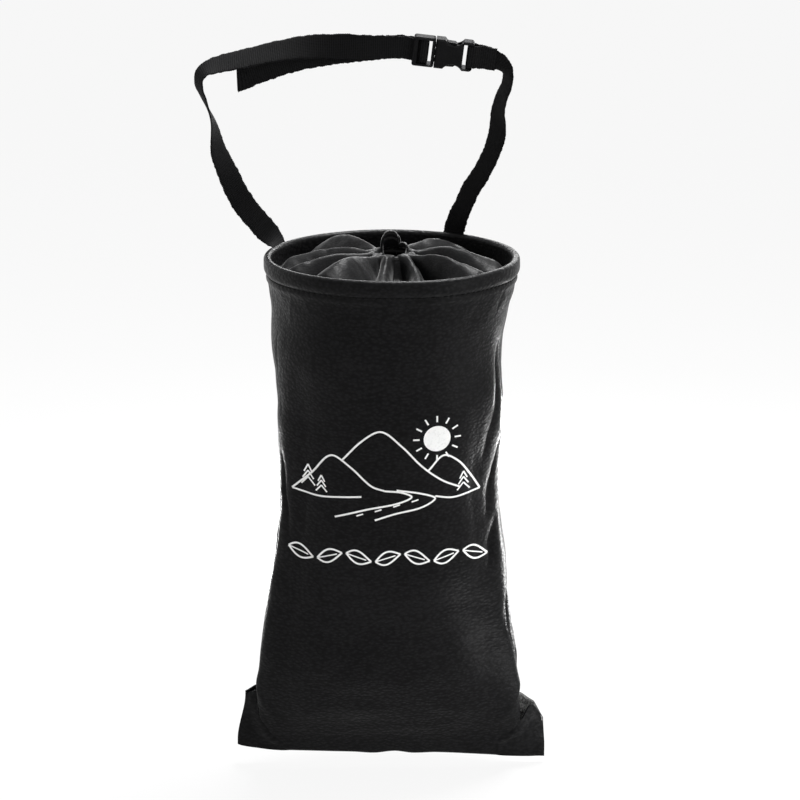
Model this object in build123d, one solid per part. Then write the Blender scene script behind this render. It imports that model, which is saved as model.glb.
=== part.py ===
from build123d import *
import math
import os

# Hanging litter bag for the back of a car seat: a leather tube with a stiff round mouth,
# a gathered closure inside the mouth, a sewn flat bottom and a strap with a release buckle.
# Millimetres, Z up, front facing -Y. Forms are drawn from the middle of the mouth and moved
# down at the end, so that the hang point under the strap's top run is the origin.

# Mouth, folded hem and the hoop inside it
HANG_HEIGHT = 125.0
MOUTH_RADIUS = 77.5
LEATHER = 1.2
HEM_HEIGHT = 15.0
HEM_CHANNEL = 2.5
STITCH_DROP = 10.5
ROLL_FACETS = 6
HOOP_HEIGHT = 6.5
HOOP_PLAY = 0.25
PLAY = 0.15

# Bag wall below the hem: drop under the rim, half width, half depth, squareness of the
# section, depth of the fold in each flank, and sideways lean
WALL_SECTIONS = [
    (20.0, 73.6, 74.3, 2.0, 0.0, 0.1),
    (32.0, 71.8, 73.0, 2.0, 0.0, 0.3),
    (54.0, 71.2, 71.0, 2.05, 0.8, -1.8),
    (92.0, 69.4, 66.0, 2.2, 3.0, -0.3),
    (142.0, 67.0, 58.5, 2.35, 6.0, -1.4),
    (194.0, 72.3, 49.5, 2.5, 8.0, -1.6),
    (247.0, 79.0, 37.0, 2.6, 8.0, -2.5),
    (282.0, 83.4, 22.0, 2.6, 4.5, -2.6),
    (306.0, 85.5, 8.4, 2.6, 1.0, -2.0),
]
FULL_FOLD = 6.0
BOTTOM_DROP = 320.2
BOTTOM_HALF_WIDTH = 86.0
BOTTOM_HALF_THICKNESS = 2.6
BOTTOM_SLOPE = 0.045
SEAM_ALLOWANCE = 8.0
LOFT_STEPS = 8

# Square tabs left standing at the two ends of the bottom seam
TAB_REACH = 97.2
TAB_TOP_DROP = 279.0
TAB_WIDTH = 14.0
TAB_ROOT = 11.0
LEFT_TAB_TAPER = 5.0
RIGHT_TAB_TAPER = 1.5
RIGHT_TAB_CUT = 17.5
TAB_THICKNESS = 3.2

# Gathered closure and the elastic that draws it in
PLEATS = 11
COLLAR_LEATHER = 1.0
COLLAR_DROP = 14.5
NECK_RADIUS = 10.2
NECK_HEIGHT = -0.8
PLEAT_DEPTH = 12.0
RUFFLE_FLARE = 4.0
RUFFLE_HEIGHT = 9.5
PROFILE_STEPS = 12
ELASTIC_DIAMETER = 2.4

# Webbing
WEBBING_WIDTH = 15.0
WEBBING = 1.3
WEBBING_STEP = 5.0
SEWN_DROP = 13.0
LONG_STRAP_ANGLE = 62.0
SHORT_STRAP_ANGLE = 29.5

# Side-release buckle: its left end on the strap, the way it lies, and its sizes
BUCKLE_PLACE = (12.7, 0.0, 124.0)
BUCKLE_SLOPE = 6.5
BUCKLE_TILT = 17.0
BUCKLE_WIDTH = 18.8
SLOT_PLAY = 0.3
END_BAR = 2.6
FIRST_SLOT = 2.8
MIDDLE_BAR = 2.4
SECOND_SLOT = 3.4
CROSS_BAR = 1.8
MALE_THICKNESS = 5.8
FEMALE_THICKNESS = 6.4
FEMALE_LENGTH = 22.7
REAR_BAR = 2.6
REAR_SLOT = 3.6
WAIST_WIDTH = 12.6
POCKET_WIDTH = 13.4
POCKET_HEIGHT = 3.8
POCKET_DEPTH = 15.1
WINDOW_START = 6.5
ARM_WIDTH = 1.9
ARM_PLAY = 0.2
BARB_REACH = 1.4
PARTING = 0.3

# Sizes that follow from the ones above
HEM_INNER = MOUTH_RADIUS - 2 * LEATHER - HEM_CHANNEL
WALL_RADIUS = HEM_INNER + 2 * LEATHER
HEM_ROLL = (MOUTH_RADIUS - HEM_INNER) / 2
HOOP_MIDDLE = HEM_INNER + LEATHER + HEM_CHANNEL / 2
SLOT_WIDTH = WEBBING_WIDTH + 2 * SLOT_PLAY
MALE_LENGTH = END_BAR + FIRST_SLOT + MIDDLE_BAR + SECOND_SLOT + CROSS_BAR
FEMALE_START = MALE_LENGTH + PARTING
FEMALE_END = FEMALE_START + FEMALE_LENGTH


def smooth_row(keys, rows, key):
    """Row of numbers at one key, on smooth curves through the given rows."""
    last = len(keys) - 1
    left = max(i for i in range(last) if i == 0 or keys[i] <= key)
    span = keys[left + 1] - keys[left]
    t = (key - keys[left]) / span

    def slope(i, column):
        low, high = max(i - 1, 0), min(i + 1, last)
        return (rows[high][column] - rows[low][column]) / (keys[high] - keys[low])

    return [
        (1 + 2 * t) * (1 - t) ** 2 * rows[left][c]
        + t * (1 - t) ** 2 * span * slope(left, c)
        + t * t * (3 - 2 * t) * rows[left + 1][c]
        - t * t * (1 - t) * span * slope(left + 1, c)
        for c in range(len(rows[0]))
    ]


def shaped(share, squareness):
    """One coordinate of a rounded section: 2 gives an ellipse, more a squarer form."""
    return math.copysign(abs(share) ** (2 / squareness), share)


def wall_section(drop, half_width, half_depth, squareness, fold, lean, inset):
    """Closed curve round the bag at one height, with a fold running down each flank."""
    slope = BOTTOM_SLOPE * (drop / BOTTOM_DROP) ** 4
    points = []
    for step in range(16):
        turn = math.radians(90 + 22.5 * step)
        x = shaped(math.cos(turn), squareness) * (half_width - inset)
        y = shaped(math.sin(turn), squareness) * (half_depth - inset)
        if step % 8 == 4:
            x -= math.copysign(fold, x)
        if step % 8 in (3, 5):
            full = math.copysign(half_width - inset, x)
            x += (full - x) * min(1.0, fold / FULL_FOLD)
        points.append((x + lean, y, -drop - slope * x))
    return Wire([Edge.make_spline([Vector(*p) for p in points], periodic=True)])


def make_tab(side):
    """Flat double layer standing out beyond the wall at one end of the bottom seam."""
    root = side * (BOTTOM_HALF_WIDTH - TAB_ROOT)
    edge = side * TAB_REACH
    taper = RIGHT_TAB_TAPER if side > 0 else LEFT_TAB_TAPER
    cut = RIGHT_TAB_CUT if side > 0 else 0.0
    outline = Polyline(
        (root, PLAY - BOTTOM_DROP - BOTTOM_SLOPE * root),
        (edge, PLAY - BOTTOM_DROP - BOTTOM_SLOPE * edge),
        (edge - side * taper, -TAB_TOP_DROP - cut),
        (edge - side * TAB_WIDTH, -TAB_TOP_DROP),
        (root, -TAB_TOP_DROP),
        close=True,
    )
    return extrude(Plane.XZ * make_face(outline), TAB_THICKNESS / 2, both=True)


def make_bag():
    """Wall lofted from the round mouth to the flat seam, with its hem folded inward."""
    top = (HEM_HEIGHT - 0.5, WALL_RADIUS - 0.1, WALL_RADIUS - 0.1, 2.0, 0.0, 0.0)
    bottom = (BOTTOM_DROP, BOTTOM_HALF_WIDTH, BOTTOM_HALF_THICKNESS, 2.6, 0.0, -1.0)
    rows = [top, *WALL_SECTIONS, bottom]
    drops = [row[0] for row in rows]
    depth = BOTTOM_DROP - top[0]
    levels = [top[0] + depth * i / LOFT_STEPS for i in range(LOFT_STEPS + 1)]
    sections = [smooth_row(drops, rows, level) for level in levels]
    outer = Solid.make_loft([wall_section(*row, 0) for row in sections])
    hollow = Part() + Solid.make_loft([wall_section(*row, LEATHER) for row in sections])
    seam = Rot(0, math.degrees(math.atan(BOTTOM_SLOPE)), 0) * Box(
        3 * BOTTOM_HALF_WIDTH, MOUTH_RADIUS, 2 * SEAM_ALLOWANCE
    )
    hollow -= Pos(0, 0, -BOTTOM_DROP) * seam

    turns = [math.pi * i / ROLL_FACETS for i in range(ROLL_FACETS + 1)]
    roll = [
        (HOOP_MIDDLE + HEM_ROLL * math.cos(t), HEM_ROLL * (math.sin(t) - 1)) for t in turns
    ]
    outline = Polyline(
        *roll,
        (HEM_INNER, -HEM_HEIGHT),
        (WALL_RADIUS + PLAY, -HEM_HEIGHT),
        (WALL_RADIUS + PLAY, -STITCH_DROP - LEATHER / 2),
        (MOUTH_RADIUS, LEATHER - STITCH_DROP),
        close=True,
    )
    channel = Pos(HOOP_MIDDLE, -STITCH_DROP / 2) * Rectangle(
        HEM_CHANNEL, STITCH_DROP - 2 * LEATHER
    )
    hem = revolve(Plane.XZ * (make_face(outline) - channel), Axis.Z)
    wall = Part() + outer + make_tab(-1) + make_tab(1) - hollow
    return wall + hem


def make_hoop():
    """Flat springy strip that keeps the mouth round, lying in the hem's channel."""
    low = LEATHER - STITCH_DROP + HOOP_PLAY
    thickness = HEM_CHANNEL - 2 * HOOP_PLAY
    section = Pos(HOOP_MIDDLE, low + HOOP_HEIGHT / 2) * Rectangle(thickness, HOOP_HEIGHT)
    return revolve(Plane.XZ * section, Axis.Z)


def pleat_profile(turn, ridge):
    """Thin section of the gathered leather in the plane at one turn round the mouth."""
    swing = 0.5 if ridge else -0.5
    uneven = 1 + 0.18 * math.sin(2.3 * turn) + 0.12 * math.cos(5.0 * turn)
    seat = HEM_INNER - PLAY - COLLAR_LEATHER / 2
    reach = seat - NECK_RADIUS
    half = COLLAR_LEATHER / 2
    middle = [
        (seat, -COLLAR_DROP),
        (seat - 0.16 * reach, 2.0 - COLLAR_DROP + 0.6 * swing * PLEAT_DEPTH * uneven),
        (seat - 0.45 * reach, 5.5 - COLLAR_DROP + swing * PLEAT_DEPTH * uneven),
        (seat - 0.78 * reach, NECK_HEIGHT - 6.2 + 0.8 * swing * PLEAT_DEPTH * uneven),
        (NECK_RADIUS + 3.0 * swing, NECK_HEIGHT - 4.5 + 1.5 * swing),
        (NECK_RADIUS + 2.6 * swing, NECK_HEIGHT + 0.5),
        (
            NECK_RADIUS + 4.5 * swing + RUFFLE_FLARE,
            NECK_HEIGHT + RUFFLE_HEIGHT + 5.0 * swing * uneven,
        ),
    ]
    keys = [0.0]
    for here, after in zip(middle, middle[1:]):
        keys.append(keys[-1] + math.dist(here, after))
    middle = [
        smooth_row(keys, middle, keys[-1] * i / PROFILE_STEPS) for i in range(PROFILE_STEPS + 1)
    ]
    upper = []
    lower = []
    for before, here, after in zip([middle[0], *middle], middle, [*middle[1:], middle[-1]]):
        along = (Vector(*after) - Vector(*before)).normalized()
        across = Vector(along.Y, -along.X) * half
        upper.append(Vector(*here) + across)
        lower.append(Vector(*here) - across)
    radial = (math.cos(turn), math.sin(turn), 0)
    stand = Plane((0, 0, 0), radial, (math.sin(turn), -math.cos(turn), 0))
    return stand * Wire.make_polygon([*upper, *lower[::-1]])


def make_collar():
    """Closure leather gathered in pleats from the hem to a narrow neck with a ruffle."""
    collar = Part()
    for half in range(2):
        first = half * PLEATS
        profiles = [
            pleat_profile(math.pi * (first + i) / PLEATS, (first + i) % 2 == 0)
            for i in range(PLEATS + 1)
        ]
        collar += Solid.make_loft(profiles, True)
    return collar


def make_elastic():
    """Elastic cord ring drawn round the outside of the neck."""
    ridge = NECK_RADIUS + 1.5 + COLLAR_LEATHER / 2
    ring = ridge + PLAY + ELASTIC_DIAMETER / 2
    section = Pos(ring, NECK_HEIGHT) * RegularPolygon(ELASTIC_DIAMETER / 2, 8)
    return revolve(Plane.XZ * section, Axis.Z)


def ribbon(stations, thickness, start=None, finish=None):
    """Webbing lofted through (middle, across) stations, with set directions at its ends."""
    rows = [(*middle, *across) for middle, across in stations]
    keys = [0.0]
    for here, after in zip(rows, rows[1:]):
        keys.append(keys[-1] + math.dist(here[:3], after[:3]))
    count = math.ceil(keys[-1] / WEBBING_STEP)
    rows = [smooth_row(keys, rows, keys[-1] * i / count) for i in range(count + 1)]
    middles = [Vector(*row[:3]) for row in rows]
    sections = []
    for i, row in enumerate(rows):
        along = middles[min(i + 1, count)] - middles[max(i - 1, 0)]
        if i == 0 and start:
            along = start
        if i == count and finish:
            along = finish
        along = along.normalized()
        across = Vector(*row[3:])
        across = (across - along * across.dot(along)).normalized()
        half = across * (WEBBING_WIDTH / 2)
        rise = along.cross(across) * (thickness / 2)
        corners = [-half - rise, half - rise, half + rise, rise - half]
        sections.append(Wire.make_polygon([middles[i] + c for c in corners]))
    return Solid.make_loft(sections, True)


def sewn_end(angle):
    """Two stations where a strap lies sewn flat on the back of the hem."""
    turn = math.radians(angle)
    radius = MOUTH_RADIUS + 2 * PLAY + WEBBING / 2
    x, y = radius * math.sin(turn), radius * math.cos(turn)
    across = (math.cos(turn), -math.sin(turn), 0)
    heights = [-SEWN_DROP, -0.6 * SEWN_DROP, -0.2 * SEWN_DROP]
    return [((x, y, height), across) for height in heights]


def buckle_planes():
    """Buckle face, with its width as Y, and the plane seen along its width."""
    slope = math.radians(BUCKLE_SLOPE)
    tilt = math.radians(BUCKLE_TILT)
    along = Vector(math.cos(slope), 0, -math.sin(slope))
    front = Vector(
        -math.sin(slope) * math.sin(tilt), -math.cos(tilt), -math.cos(slope) * math.sin(tilt)
    )
    face = Plane(BUCKLE_PLACE, along, front)
    return face, Plane(BUCKLE_PLACE, along, along.cross(front))


def woven(path_points, radius):
    """Webbing that follows a flat path of straight runs and bends through the buckle."""
    path = FilletPolyline(*path_points, radius=radius)
    face, side = buckle_planes()
    return extrude(side * trace(path, WEBBING), WEBBING_WIDTH / 2, both=True)


def make_long_strap():
    """Adjustable strap: twisted left side, top run, two turns in the buckle and loose tail."""
    face, side = buckle_planes()
    lead = -8.0
    end_bar_back = 0.3
    middle_front = 0.6
    middle_back = -1.6
    main = end_bar_back - 0.3 - WEBBING / 2
    over = middle_front + 0.3 + WEBBING / 2
    under = middle_back - 0.3 - WEBBING / 2
    bar_start = END_BAR + FIRST_SLOT
    down = bar_start + MIDDLE_BAR + 0.3 + WEBBING / 2
    lock = woven(
        [
            (lead, main),
            (END_BAR + 0.2, main),
            (bar_start - 0.2, over),
            (down, over),
            (down, under),
            (lead, under),
        ],
        1.0,
    )

    width = tuple(face.y_dir)
    run = [
        ((-73.6, 38.0, 2.4), (0.65, 0.7, 0.2)),
        ((-80.0, 36, 8), (0.83, 0.4, 0.4)),
        ((-88.6, 31, 21.1), (0.78, 0.5, 0.37)),
        ((-95.2, 26, 34.5), (0.78, 0.51, 0.37)),
        ((-100.2, 21, 47.8), (0.69, 0.68, 0.25)),
        ((-104.8, 16, 60.9), (0.53, 0.84, 0.16)),
        ((-107.7, 10, 80.1), (0.04, 1, 0)),
        ((-112.4, 7, 93.9), (-0.32, 0.95, 0.08)),
        ((-114.7, 5, 100.6), (-0.39, 0.91, 0.16)),
        ((-114.4, 5, 107.4), (-0.31, 0.88, 0.36)),
        ((-110.2, 5, 111.8), (-0.11, 0.87, 0.48)),
        ((-102.0, 5, 114.5), (-0.11, 0.81, 0.58)),
        ((-90.0, 4, 117.3), (-0.15, 0.76, 0.63)),
        ((-72.1, 3, 121.6), (-0.15, 0.69, 0.71)),
        ((-54.2, 2, 124.6), (-0.12, 0.52, 0.82)),
        ((-36.4, 1, 125.8), (-0.03, 0.25, 0.95)),
        ((-18.6, 0, 125.4), (0.04, -0.08, 0.97)),
        (tuple(side.from_local_coords((lead, main, 0))), width),
    ]
    anchor = [
        ((-x, y, z), (ax, -ay, az)) for (x, y, z), (ax, ay, az) in sewn_end(LONG_STRAP_ANGLE)
    ]
    leg = ribbon(anchor + run, WEBBING, Vector(0, 0, 1), face.x_dir)

    tail_run = [
        (tuple(side.from_local_coords((lead, under, 0))), width),
        ((-18.6, 3.4, 123.4), (0.04, -0.08, 0.97)),
        ((-36.4, 4.6, 121.2), (-0.03, 0.2, 0.96)),
        ((-56.0, 5.6, 117.4), (-0.1, 0.36, 0.9)),
        ((-78.0, 6.2, 110.4), (-0.2, 0.42, 0.86)),
        ((-84.0, 6.3, 108.2), (-0.22, 0.42, 0.86)),
        ((-90.2, 6.4, 105.9), (-0.24, 0.42, 0.86)),
    ]
    tail = ribbon(tail_run, WEBBING, face.x_dir * -1)
    turned_end = ribbon(tail_run[-2:], 2 * WEBBING + PLAY)
    return Part() + lock + leg + tail + turned_end


def make_short_strap():
    """Right strap, looped round the rear bar of the buckle and sewn back on itself."""
    face, side = buckle_planes()
    bar_front = FEMALE_END - REAR_BAR
    wrap = bar_front - 0.2 - WEBBING / 2
    clear = 1.3 + 0.2 + WEBBING / 2
    close = WEBBING / 2 + PLAY
    joint = FEMALE_END + 6.0
    loop = woven(
        [
            (joint, -close),
            (FEMALE_END + 3.5, -close),
            (FEMALE_END + 0.4, -clear),
            (wrap, -clear),
            (wrap, clear),
            (FEMALE_END + 0.4, clear),
            (FEMALE_END + 3.5, close),
            (FEMALE_END + 10.5, close),
        ],
        0.95,
    )
    width = tuple(face.y_dir)
    run = [
        ((39.4, 67.0, 3.0), (0.8, -0.58, -0.1)),
        ((43.3, 58.5, 15.9), (0.62, -0.75, -0.21)),
        ((48.6, 48, 30.4), (0.58, -0.76, -0.29)),
        ((55.9, 39, 44.5), (0.53, -0.79, -0.29)),
        ((61.3, 30, 58.5), (0.57, -0.81, -0.16)),
        ((64.0, 22, 72.1), (0.6, -0.8, -0.04)),
        ((64.4, 14, 85.5), (0.44, -0.9, 0)),
        ((66.0, 9, 94.2), (0.36, -0.93, -0.04)),
        ((68.6, 6, 101.8), (0.36, -0.93, -0.04)),
        ((69.0, 4, 108.4), (0.31, -0.91, 0.28)),
        ((65.8, 2.6, 114.0), (0.23, -0.7, 0.67)),
        ((59.6, 1.6, 117.4), (0.15, -0.42, 0.88)),
        (tuple(side.from_local_coords((joint, -close, 0))), width),
    ]
    leg = ribbon(sewn_end(SHORT_STRAP_ANGLE) + run, WEBBING, Vector(0, 0, 1), face.x_dir * -1)
    return Part() + loop + leg


def slab(start, end, half_width, low, high):
    """Block along the buckle from start to end, across its width, between two depths."""
    middle = Pos((start + end) / 2, 0, (low + high) / 2)
    return middle * Box(end - start, 2 * half_width, high - low)


def make_male():
    """Buckle half with two adjuster slots, a guide tongue and a pair of sprung arms."""
    half = BUCKLE_WIDTH / 2
    slot = SLOT_WIDTH / 2
    thick = MALE_THICKNESS / 2
    first = END_BAR
    middle = first + FIRST_SLOT
    second = middle + MIDDLE_BAR
    cross = second + SECOND_SLOT

    plate = Pos(MALE_LENGTH / 2, 0) * RectangleRounded(MALE_LENGTH, BUCKLE_WIDTH, 1.5)
    base = extrude(plate, thick, both=True)
    base = chamfer(base.faces().filter_by(Axis.Z).edges(), 0.7)
    base -= slab(first, middle, slot, -thick, thick)
    base -= slab(second, cross, slot, -thick, thick)
    base -= slab(-1, first, slot, -thick, 0.3)
    base -= slab(middle, second, slot, 0.6, thick)
    base -= slab(middle, second, slot, -thick, -1.6)

    root = MALE_LENGTH - 0.4
    pocket = POCKET_WIDTH / 2
    outer = pocket - 0.3
    catch = FEMALE_START + WINDOW_START + 0.4
    tip = FEMALE_START + POCKET_DEPTH - 0.8
    arm = make_face(
        Polyline(
            (root, outer - 0.7),
            (catch, outer),
            (catch, pocket + BARB_REACH - 0.2),
            (catch + 4.4, pocket + BARB_REACH - 0.4),
            (tip, outer - 1.2),
            (tip - 0.2, outer - 0.3 - ARM_WIDTH),
            (catch + 3.5, outer - ARM_WIDTH),
            (root, outer - 0.7 - ARM_WIDTH),
            close=True,
        )
    )
    high = POCKET_HEIGHT / 2 - ARM_PLAY
    spring = extrude(arm, high, both=True)
    tongue = slab(root, FEMALE_START + 0.7 * POCKET_DEPTH, 1.7, -high, high)
    face, side = buckle_planes()
    return face * (base + spring + mirror(spring, Plane.XZ) + tongue)


def make_female():
    """Buckle half with a hollow pocket, open waisted sides and a bar for the short strap."""
    half = BUCKLE_WIDTH / 2
    thick = FEMALE_THICKNESS / 2
    waist = FEMALE_START + 0.49 * FEMALE_LENGTH
    shoulder = FEMALE_START + 0.23 * FEMALE_LENGTH
    hip = FEMALE_START + 0.73 * FEMALE_LENGTH
    corner = 2.2
    upper = [
        Line((FEMALE_START, half), (shoulder, half)),
        ThreePointArc((shoulder, half), (waist, WAIST_WIDTH / 2), (hip, half)),
        Line((hip, half), (FEMALE_END - corner, half)),
        RadiusArc((FEMALE_END - corner, half), (FEMALE_END, half - corner), corner),
    ]
    lower = [mirror(edge, Plane.XZ) for edge in upper]
    ends = [
        Line((FEMALE_END, half - corner), (FEMALE_END, corner - half)),
        Line((FEMALE_START, half), (FEMALE_START, -half)),
    ]
    body = extrude(make_face([*upper, *lower, *ends]), thick, both=True)
    body = chamfer(body.faces().filter_by(Axis.Z).edges(), 0.8)

    pocket_end = FEMALE_START + POCKET_DEPTH
    high = POCKET_HEIGHT / 2
    slot_start = FEMALE_END - REAR_BAR - REAR_SLOT
    body -= slab(FEMALE_START - 1, pocket_end, POCKET_WIDTH / 2, -high, high)
    body -= slab(FEMALE_START + WINDOW_START, pocket_end, half + 1, -high, high)
    body -= slab(slot_start, FEMALE_END - REAR_BAR, SLOT_WIDTH / 2, -thick, thick)
    body -= slab(FEMALE_END - REAR_BAR, FEMALE_END + 1, SLOT_WIDTH / 2, 1.3, thick)
    body -= slab(FEMALE_END - REAR_BAR, FEMALE_END + 1, SLOT_WIDTH / 2, -thick, -1.3)
    face, side = buckle_planes()
    return face * body


os.makedirs("parts", exist_ok=True)
pieces = {
    "bag_body": make_bag(),
    "rim_hoop": make_hoop(),
    "closure_collar": make_collar(),
    "elastic_cord": make_elastic(),
    "strap_long": make_long_strap(),
    "strap_short": make_short_strap(),
    "buckle_male": make_male(),
    "buckle_female": make_female(),
}
for name, piece in pieces.items():
    export_step(Pos(0, 0, -HANG_HEIGHT) * piece, f"parts/{name}.step")
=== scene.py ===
import random
from math import asin, ceil, copysign, cos, degrees, dist, exp, hypot, pi, radians, sin, sqrt, tau

import bpy
import numpy as np
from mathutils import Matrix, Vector, noise
from mathutils.bvhtree import BVHTree


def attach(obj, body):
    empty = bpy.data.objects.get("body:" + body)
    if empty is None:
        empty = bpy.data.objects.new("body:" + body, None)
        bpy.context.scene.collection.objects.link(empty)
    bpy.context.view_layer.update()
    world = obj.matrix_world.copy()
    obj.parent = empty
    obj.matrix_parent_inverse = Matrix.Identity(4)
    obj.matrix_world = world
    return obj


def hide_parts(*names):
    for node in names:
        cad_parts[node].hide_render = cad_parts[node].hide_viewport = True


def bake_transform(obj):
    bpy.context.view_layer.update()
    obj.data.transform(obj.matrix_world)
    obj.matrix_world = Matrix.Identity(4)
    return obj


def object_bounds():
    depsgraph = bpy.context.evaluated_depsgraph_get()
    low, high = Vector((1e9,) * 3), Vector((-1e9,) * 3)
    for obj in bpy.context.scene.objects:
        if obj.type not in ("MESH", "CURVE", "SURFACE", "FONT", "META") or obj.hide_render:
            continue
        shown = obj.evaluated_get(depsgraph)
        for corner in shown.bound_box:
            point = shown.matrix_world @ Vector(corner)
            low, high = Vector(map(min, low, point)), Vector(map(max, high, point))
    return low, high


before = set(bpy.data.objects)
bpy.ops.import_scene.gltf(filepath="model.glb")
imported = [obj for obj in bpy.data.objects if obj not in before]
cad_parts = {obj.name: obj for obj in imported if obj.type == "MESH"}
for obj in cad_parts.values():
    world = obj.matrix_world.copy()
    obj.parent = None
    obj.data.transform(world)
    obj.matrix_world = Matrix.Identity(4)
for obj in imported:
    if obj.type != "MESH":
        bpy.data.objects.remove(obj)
cad_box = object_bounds()

# Sizes in millimetres from the middle of the mouth, as in the part's source
MM = 0.001
HANG_HEIGHT = 125.0
MOUTH_RADIUS = 77.5
HEM_INNER = 72.6
HEM_ROLL = 2.45
HEM_OUTSIDE = [
    (77.5, -3.6), (77.5, -5.0), (77.45, -6.4), (77.25, -7.6), (76.8, -8.6), (76.1, -9.5),
    (75.35, -10.2), (75.1, -10.6), (75.4, -11.1), (75.75, -11.9), (75.8, -12.9), (75.5, -14.0),
]
STITCH_DROP = 10.5
STITCH_HEIGHT = -10.6
STITCH_RADIUS = 75.4
THREAD_RADIUS = 0.34

# Wall from the hem down: drop, half width, half depth, squareness, flank fold, lean to the right
WALL_RADIUS = 75.0
WALL_TOP = 15.4
WALL_END = 316.5
END_LEVELS = [318.2, 319.5, 320.2]
WALL_ROWS = [
    (14.5, 74.9, 74.9, 2.0, 0.0, 0.0),
    (20.0, 73.6, 74.3, 2.0, 0.0, 0.1),
    (32.0, 71.4, 73.0, 2.0, 0.0, -0.8),
    (54.0, 70.8, 71.0, 2.05, 0.8, -3.3),
    (92.0, 69.4, 66.0, 2.2, 3.0, -0.3),
    (142.0, 67.0, 58.5, 2.35, 6.0, -1.4),
    (194.0, 72.3, 49.5, 2.5, 8.0, -1.6),
    (247.0, 79.0, 37.0, 2.6, 8.0, -2.5),
    (282.0, 83.4, 22.0, 2.6, 4.5, -2.6),
    (306.0, 85.5, 8.4, 2.6, 1.0, -2.0),
    (320.2, 86.0, 2.4, 2.6, 0.0, -1.0),
]

# Bottom edge: distance from the middle and how far it lies lower there, and the rows that close it
BOTTOM_DROP = 320.2
SEAM_DROP = 0.75
BOTTOM_CLOSE = [(0.62, 0.5), (0.0, SEAM_DROP)]
BOTTOM_EDGE = [
    (-98, -5.8), (-93, -4.0), (-84, -2.5), (-74, -1.3), (-40, -0.2), (-24, 0.2), (-11, 0.9),
    (1.5, -0.4), (13, 0.9), (28, 0.5), (55, 1.7), (79, 3.0), (97, 3.4),
]

# Cloth side of the wall, which lies deeper under the creases than under the hem
LEATHER = 1.2
LINING_TOP = 15.6
LINING_END = 311.0
LINING_GAP = 1.8
LINING_DEEP = 5.0

# Fineness of the bag's mesh and of its stitching
WALL_COLUMNS = 480
WALL_STEP = 2.0
LINING_COLUMNS = 120
LINING_STEPS = 34
HEM_STITCHES = 120

# Seam that closes the tube, down the middle of the back
SEAM_COLUMN = WALL_COLUMNS // 4
SEAM_DEPTH = 1.0
SEAM_STITCHES = 3.6
SEAM_TOP = -16.0
SEAM_LENGTH = 298
SEAM_DASH = 3.1
SEAM_GAP = 1.1

# Creases in the wall: line of (turn in degrees from the right, drop), height, width
FOLDS = [
    ([(341, 46), (334, 85), (325, 99), (320, 118)], -3.0, 4.2),
    ([(339, 106), (329, 124), (326, 138), (323, 156)], -3.2, 4.4),
    ([(331, 154), (324, 171), (320, 190)], -2.8, 4.4),
    ([(351, 28), (347, 70), (340, 104)], -1.2, 2.4),
    ([(350, 120), (343, 150), (336, 176)], -1.5, 3.0),
    ([(342, 184), (336, 206), (330, 232)], -2.2, 5.0),
    ([(352, 214), (349, 250)], -0.8, 2.4),
    ([(206, 112), (210, 132), (218, 168)], -1.7, 2.0),
    ([(199, 172), (208, 142)], -1.3, 2.0),
    ([(188, 56), (192, 110)], -0.9, 2.6),
    ([(188, 200), (194, 232)], -0.8, 2.6),
    ([(186, 240), (193, 262), (205, 300)], -2.0, 2.6),
    ([(193, 256), (224, 304)], 0.9, 5.0),
    ([(353, 244), (347, 266), (336, 301)], -1.8, 2.8),
    ([(346, 258), (316, 304)], 0.9, 5.0),
    ([(300, 296), (270, 302), (244, 305)], 0.7, 5.0),
]
HEM_PUCKERS = 64
FLANK_STREAKS = 90


def smooth_row(keys, rows, key):
    """Row of numbers at one key, on smooth curves through the given rows."""
    last = len(keys) - 1
    left = max(i for i in range(last) if i == 0 or keys[i] <= key)
    gap = keys[left + 1] - keys[left]
    t = (key - keys[left]) / gap

    def slope(i, column):
        low, high = max(i - 1, 0), min(i + 1, last)
        return (rows[high][column] - rows[low][column]) / (keys[high] - keys[low])

    return [
        (1 + 2 * t) * (1 - t) ** 2 * rows[left][c]
        + t * (1 - t) ** 2 * gap * slope(left, c)
        + t * t * (3 - 2 * t) * rows[left + 1][c]
        - t * t * (1 - t) * gap * slope(left + 1, c)
        for c in range(len(rows[0]))
    ]


def smooth_line(knots, x):
    """Value at x on the smooth curve through (x, value) knots."""
    return smooth_row([k[0] for k in knots], [k[1:] for k in knots], x)[0]


def ease(low, high, value):
    """Smooth step from 0 at low to 1 at high."""
    t = min(1.0, max(0.0, (value - low) / (high - low)))
    return t * t * (3 - 2 * t)


def bell(value, width):
    return exp(-((value / width) ** 2))


def even_steps(first, last, count):
    return [first + (last - first) * i / count for i in range(count + 1)]


def round_turns(count):
    """Evenly spaced turns of a full circle, in radians."""
    return [tau * i / count for i in range(count)]


def path_keys(line):
    """Distance along a line of points to each of them."""
    keys = [0.0]
    for here, after in zip(line, line[1:]):
        keys.append(keys[-1] + dist(here, after))
    return keys


def put_in_scene(name, data):
    thing = bpy.data.objects.new(name, data)
    bpy.context.collection.objects.link(thing)
    return thing


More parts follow.
